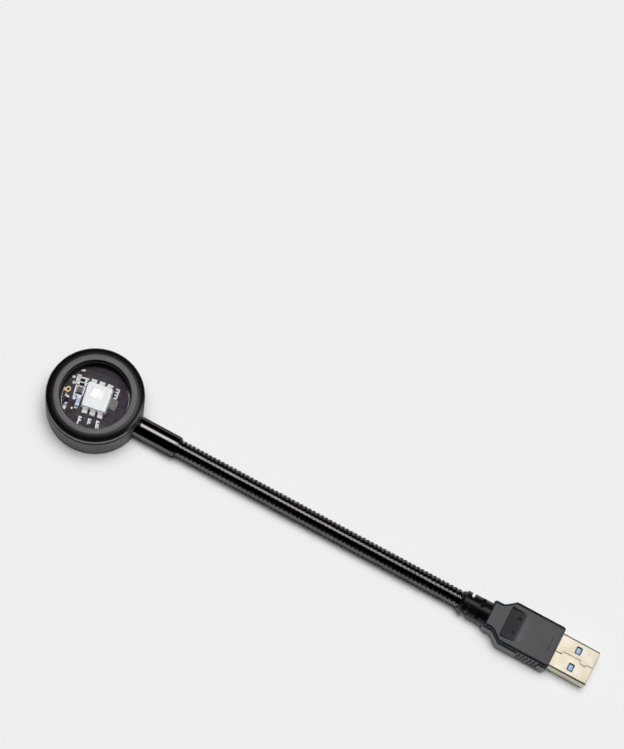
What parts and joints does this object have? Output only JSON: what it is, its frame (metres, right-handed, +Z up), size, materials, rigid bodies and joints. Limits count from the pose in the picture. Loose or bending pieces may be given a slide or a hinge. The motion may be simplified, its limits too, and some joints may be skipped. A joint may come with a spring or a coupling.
{
  "type": "sunset projection lamp",
  "caption": "USB gooseneck projection lamp: round head with a domed lens over a colour LED, ribbed bendable neck, USB-A plug and a mode button on the back.",
  "frame": {"origin": "middle of the lamp's footprint, on the surface that the head and the plug lie on", "axes": "+X along the straight neck from the head to the USB plug's mouth, +Z up, the way the lens looks"},
  "size_m": [0.1948, 0.0314, 0.0153],
  "materials": {
    "rear_cover": "satin",
    "head_housing": "satin",
    "front_bezel": "gloss",
    "lens_retainer": "satin",
    "lens": "gloss",
    "lens_gasket": "matte",
    "pcb": "satin",
    "pcb_screws": "satin",
    "led_package": "satin",
    "led_window": "gloss",
    "led_terminals": "satin",
    "driver_chip": "satin",
    "resistors": "satin",
    "capacitor": "satin",
    "solder_pads": "polished",
    "tact_switch": "satin",
    "switch_plunger": "satin",
    "mode_button": "satin",
    "wire_red": "satin",
    "wire_black": "satin",
    "ferrule": "gloss",
    "ferrule_set_screw": "satin",
    "gooseneck": "satin",
    "lead": "satin",
    "strain_relief": "satin",
    "plug_overmold": "satin",
    "inner_mould": "matte",
    "neck_crimp": "satin",
    "usb_shell": "satin",
    "usb_tongue": "gloss",
    "usb_contacts": "polished"
  },
  "bodies": {
    "plug": {"plug_overmold": "plug_overmold", "strain_relief": "strain_relief", "inner_mould": "inner_mould", "neck_crimp": "neck_crimp", "usb_shell": "usb_shell", "usb_tongue": "usb_tongue", "usb_contacts": "usb_contacts", "plug_wire_red": "wire_red", "plug_wire_black": "wire_black", "lead": "lead", "neck_link_17": "gooseneck"},
    "neck_16": {"neck_link_16": "gooseneck"},
    "neck_15": {"neck_link_15": "gooseneck"},
    "neck_14": {"neck_link_14": "gooseneck"},
    "neck_13": {"neck_link_13": "gooseneck"},
    "neck_12": {"neck_link_12": "gooseneck"},
    "neck_11": {"neck_link_11": "gooseneck"},
    "neck_10": {"neck_link_10": "gooseneck"},
    "neck_09": {"neck_link_09": "gooseneck"},
    "neck_08": {"neck_link_08": "gooseneck"},
    "neck_07": {"neck_link_07": "gooseneck"},
    "neck_06": {"neck_link_06": "gooseneck"},
    "neck_05": {"neck_link_05": "gooseneck"},
    "neck_04": {"neck_link_04": "gooseneck"},
    "neck_03": {"neck_link_03": "gooseneck"},
    "neck_02": {"neck_link_02": "gooseneck"},
    "head": {"head_housing": "head_housing", "rear_cover": "rear_cover", "front_bezel": "front_bezel", "lens_retainer": "lens_retainer", "lens": "lens", "lens_gasket": "lens_gasket", "pcb": "pcb", "pcb_screws": "pcb_screws", "led_package": "led_package", "led_window": "led_window", "led_terminals": "led_terminals", "driver_chip": "driver_chip", "resistors": "resistors", "capacitor": "capacitor", "solder_pads": "solder_pads", "tact_switch": "tact_switch", "head_wire_red": "wire_red", "head_wire_black": "wire_black", "ferrule": "ferrule", "ferrule_set_screw": "ferrule_set_screw", "neck_link_01": "gooseneck"},
    "button": {"mode_button": "mode_button", "switch_plunger": "switch_plunger"}
  },
  "joints": [
    {"name": "neck_lower_bend", "type": "hinge", "parent": "plug", "child": "neck_16", "pos_m": [0.04465, 0, 0.0041], "axis": [0, 1, 0], "range_deg": [-12, 12], "deforming": ["lead"]},
    {"name": "neck_lower_sway", "type": "hinge", "parent": "neck_16", "child": "neck_15", "pos_m": [0.03865, 0, 0.0041], "axis": [0, 0, 1], "range_deg": [-12, 12]},
    {"name": "neck_bend_14", "type": "hinge", "parent": "neck_15", "child": "neck_14", "pos_m": [0.03265, 0, 0.0041], "axis": [0, 1, 0], "range_deg": [-12, 12]},
    {"name": "neck_sway_13", "type": "hinge", "parent": "neck_14", "child": "neck_13", "pos_m": [0.02665, 0, 0.0041], "axis": [0, 0, 1], "range_deg": [-12, 12]},
    {"name": "neck_bend_12", "type": "hinge", "parent": "neck_13", "child": "neck_12", "pos_m": [0.02065, 0, 0.0041], "axis": [0, 1, 0], "range_deg": [-12, 12]},
    {"name": "neck_sway_11", "type": "hinge", "parent": "neck_12", "child": "neck_11", "pos_m": [0.01465, 0, 0.0041], "axis": [0, 0, 1], "range_deg": [-12, 12]},
    {"name": "neck_bend_10", "type": "hinge", "parent": "neck_11", "child": "neck_10", "pos_m": [0.00865, 0, 0.0041], "axis": [0, 1, 0], "range_deg": [-12, 12]},
    {"name": "neck_sway_09", "type": "hinge", "parent": "neck_10", "child": "neck_09", "pos_m": [0.00265, 0, 0.0041], "axis": [0, 0, 1], "range_deg": [-12, 12]},
    {"name": "neck_upper_bend", "type": "hinge", "parent": "neck_09", "child": "neck_08", "pos_m": [-0.00335, 0, 0.0041], "axis": [0, 1, 0], "range_deg": [-12, 12]},
    {"name": "neck_upper_sway", "type": "hinge", "parent": "neck_08", "child": "neck_07", "pos_m": [-0.00935, 0, 0.0041], "axis": [0, 0, 1], "range_deg": [-12, 12]},
    {"name": "neck_bend_06", "type": "hinge", "parent": "neck_07", "child": "neck_06", "pos_m": [-0.01535, 0, 0.0041], "axis": [0, 1, 0], "range_deg": [-12, 12]},
    {"name": "neck_sway_05", "type": "hinge", "parent": "neck_06", "child": "neck_05", "pos_m": [-0.02135, 0, 0.0041], "axis": [0, 0, 1], "range_deg": [-12, 12]},
    {"name": "neck_bend_04", "type": "hinge", "parent": "neck_05", "child": "neck_04", "pos_m": [-0.02735, 0, 0.0041], "axis": [0, 1, 0], "range_deg": [-12, 12]},
    {"name": "neck_sway_03", "type": "hinge", "parent": "neck_04", "child": "neck_03", "pos_m": [-0.03335, 0, 0.0041], "axis": [0, 0, 1], "range_deg": [-12, 12]},
    {"name": "neck_bend_02", "type": "hinge", "parent": "neck_03", "child": "neck_02", "pos_m": [-0.03935, 0, 0.0041], "axis": [0, 1, 0], "range_deg": [-12, 12]},
    {"name": "neck_sway_01", "type": "hinge", "parent": "neck_02", "child": "head", "pos_m": [-0.04535, 0, 0.0041], "axis": [0, 0, 1], "range_deg": [-12, 12]},
    {"name": "mode_button_press", "type": "slide", "parent": "head", "child": "button", "axis": [0, 0, 1], "range_m": [0, 0.0003], "stiffness_N_per_m": 5000}
  ],
  "couplings": [
    {"joint": "neck_bend_14", "follows": "neck_lower_bend", "ratio": 1},
    {"joint": "neck_sway_13", "follows": "neck_lower_sway", "ratio": 1},
    {"joint": "neck_bend_12", "follows": "neck_lower_bend", "ratio": 1},
    {"joint": "neck_sway_11", "follows": "neck_lower_sway", "ratio": 1},
    {"joint": "neck_bend_10", "follows": "neck_lower_bend", "ratio": 1},
    {"joint": "neck_sway_09", "follows": "neck_lower_sway", "ratio": 1},
    {"joint": "neck_bend_06", "follows": "neck_upper_bend", "ratio": 1},
    {"joint": "neck_sway_05", "follows": "neck_upper_sway", "ratio": 1},
    {"joint": "neck_bend_04", "follows": "neck_upper_bend", "ratio": 1},
    {"joint": "neck_sway_03", "follows": "neck_upper_sway", "ratio": 1},
    {"joint": "neck_bend_02", "follows": "neck_upper_bend", "ratio": 1},
    {"joint": "neck_sway_01", "follows": "neck_upper_sway", "ratio": 1}
  ]
}
